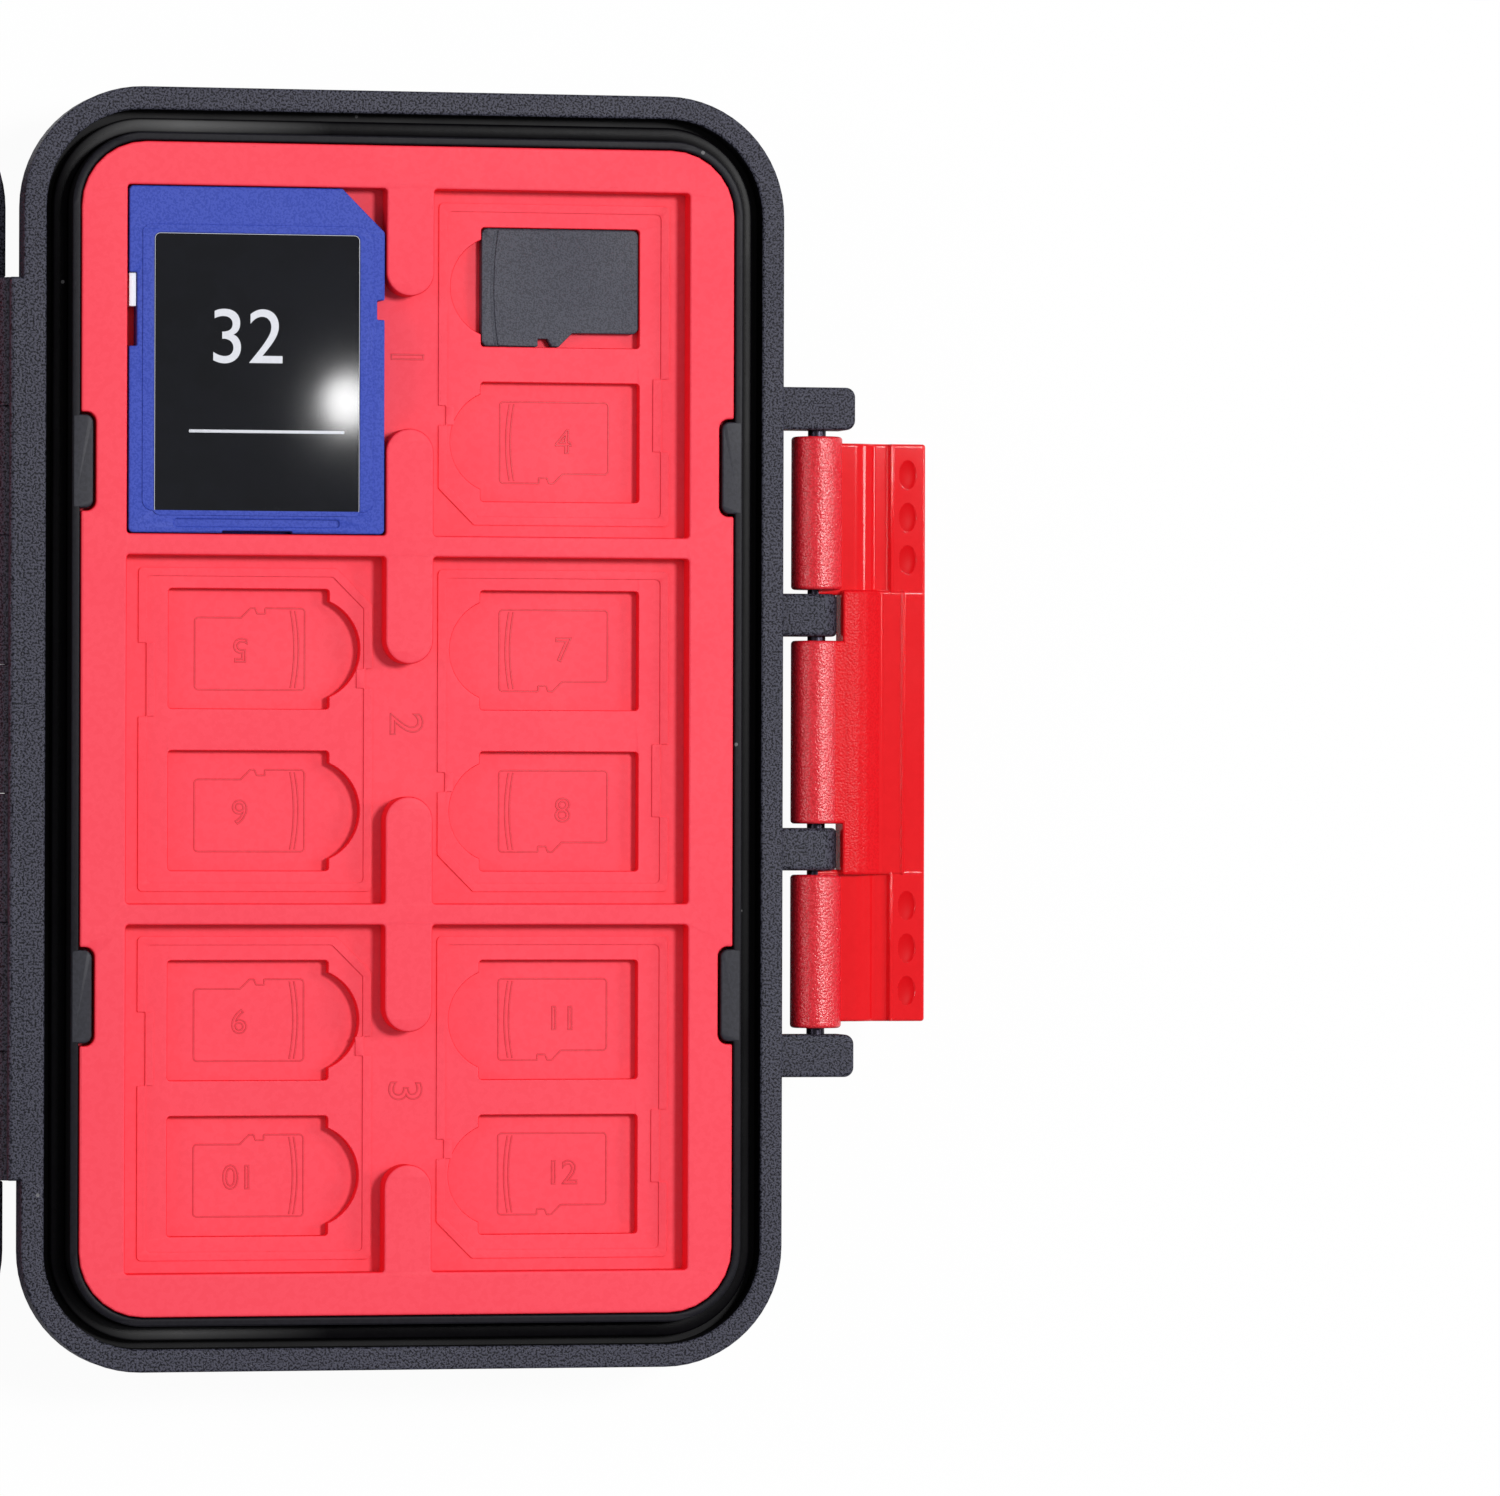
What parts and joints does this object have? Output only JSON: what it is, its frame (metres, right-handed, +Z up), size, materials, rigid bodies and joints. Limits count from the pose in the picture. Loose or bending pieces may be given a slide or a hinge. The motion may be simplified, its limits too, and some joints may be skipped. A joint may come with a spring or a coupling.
{
  "type": "memory card case",
  "caption": "Hinged hard case lying open, with soft pocketed inserts for large and small memory cards, a rubber seal and a snap latch.",
  "frame": {"origin": "centre of the base's flat underside, on the surface it lies on", "axes": "+Z up out of the open base; +X from the hinge towards the latch; +Y along the hinge, towards the pockets that hold the two cards"},
  "size_m": [0.1627, 0.1188, 0.0154],
  "materials": {
    "shell": "dark grey moulded plastic with a fine spark texture on the rim",
    "seal": "smooth black rubber with a slight sheen",
    "insert": "soft matt coral red moulding",
    "latch": "red moulded plastic, smooth with textured barrels",
    "steel": "plain drawn steel pin",
    "sd_shell": "fine matt blue plastic",
    "board": "green circuit board",
    "contacts": "gold plated contact pads",
    "slider": "white plastic",
    "label": "glossy black label",
    "micro_body": "dark grey moulded card"
  },
  "bodies": {
    "base": {"base_shell": "shell", "base_seal": "seal", "base_insert_face": "insert", "base_insert_cells": "insert", "base_insert_back": "insert", "hinge_pin": "steel", "latch_pin": "steel"},
    "lid": {"lid_shell": "shell", "lid_insert_face": "insert", "lid_insert_cells": "insert", "lid_insert_back": "insert"},
    "latch": {"latch": "latch"},
    "sd_card": {"sd_front_shell": "sd_shell", "sd_rear_shell": "sd_shell", "sd_board": "board", "sd_contacts": "contacts", "sd_label": "label"},
    "sd_lock": {"sd_lock_slider": "slider"},
    "microsd_card": {"microsd_body": "micro_body", "microsd_contacts": "contacts"}
  },
  "joints": [
    {"name": "lid_hinge", "type": "hinge", "parent": "base", "child": "lid", "pos_m": [-0.03645, 0, 0.0115], "axis": [0, 1, 0], "range_deg": [0, 180]},
    {"name": "latch_hinge", "type": "hinge", "parent": "base", "child": "latch", "pos_m": [0.03975, 0, 0.0115], "axis": [0, -1, 0], "range_deg": [-25, 90]},
    {"name": "sd_card_lift", "type": "slide", "parent": "base", "child": "sd_card", "axis": [0, 0, 1], "range_m": [0, 0.02]},
    {"name": "sd_lock_slide", "type": "slide", "parent": "sd_card", "child": "sd_lock", "axis": [0, -1, 0], "range_m": [0, 0.0035]},
    {"name": "microsd_card_lift", "type": "slide", "parent": "base", "child": "microsd_card", "axis": [0, 0, 1], "range_m": [0, 0.02]}
  ]
}
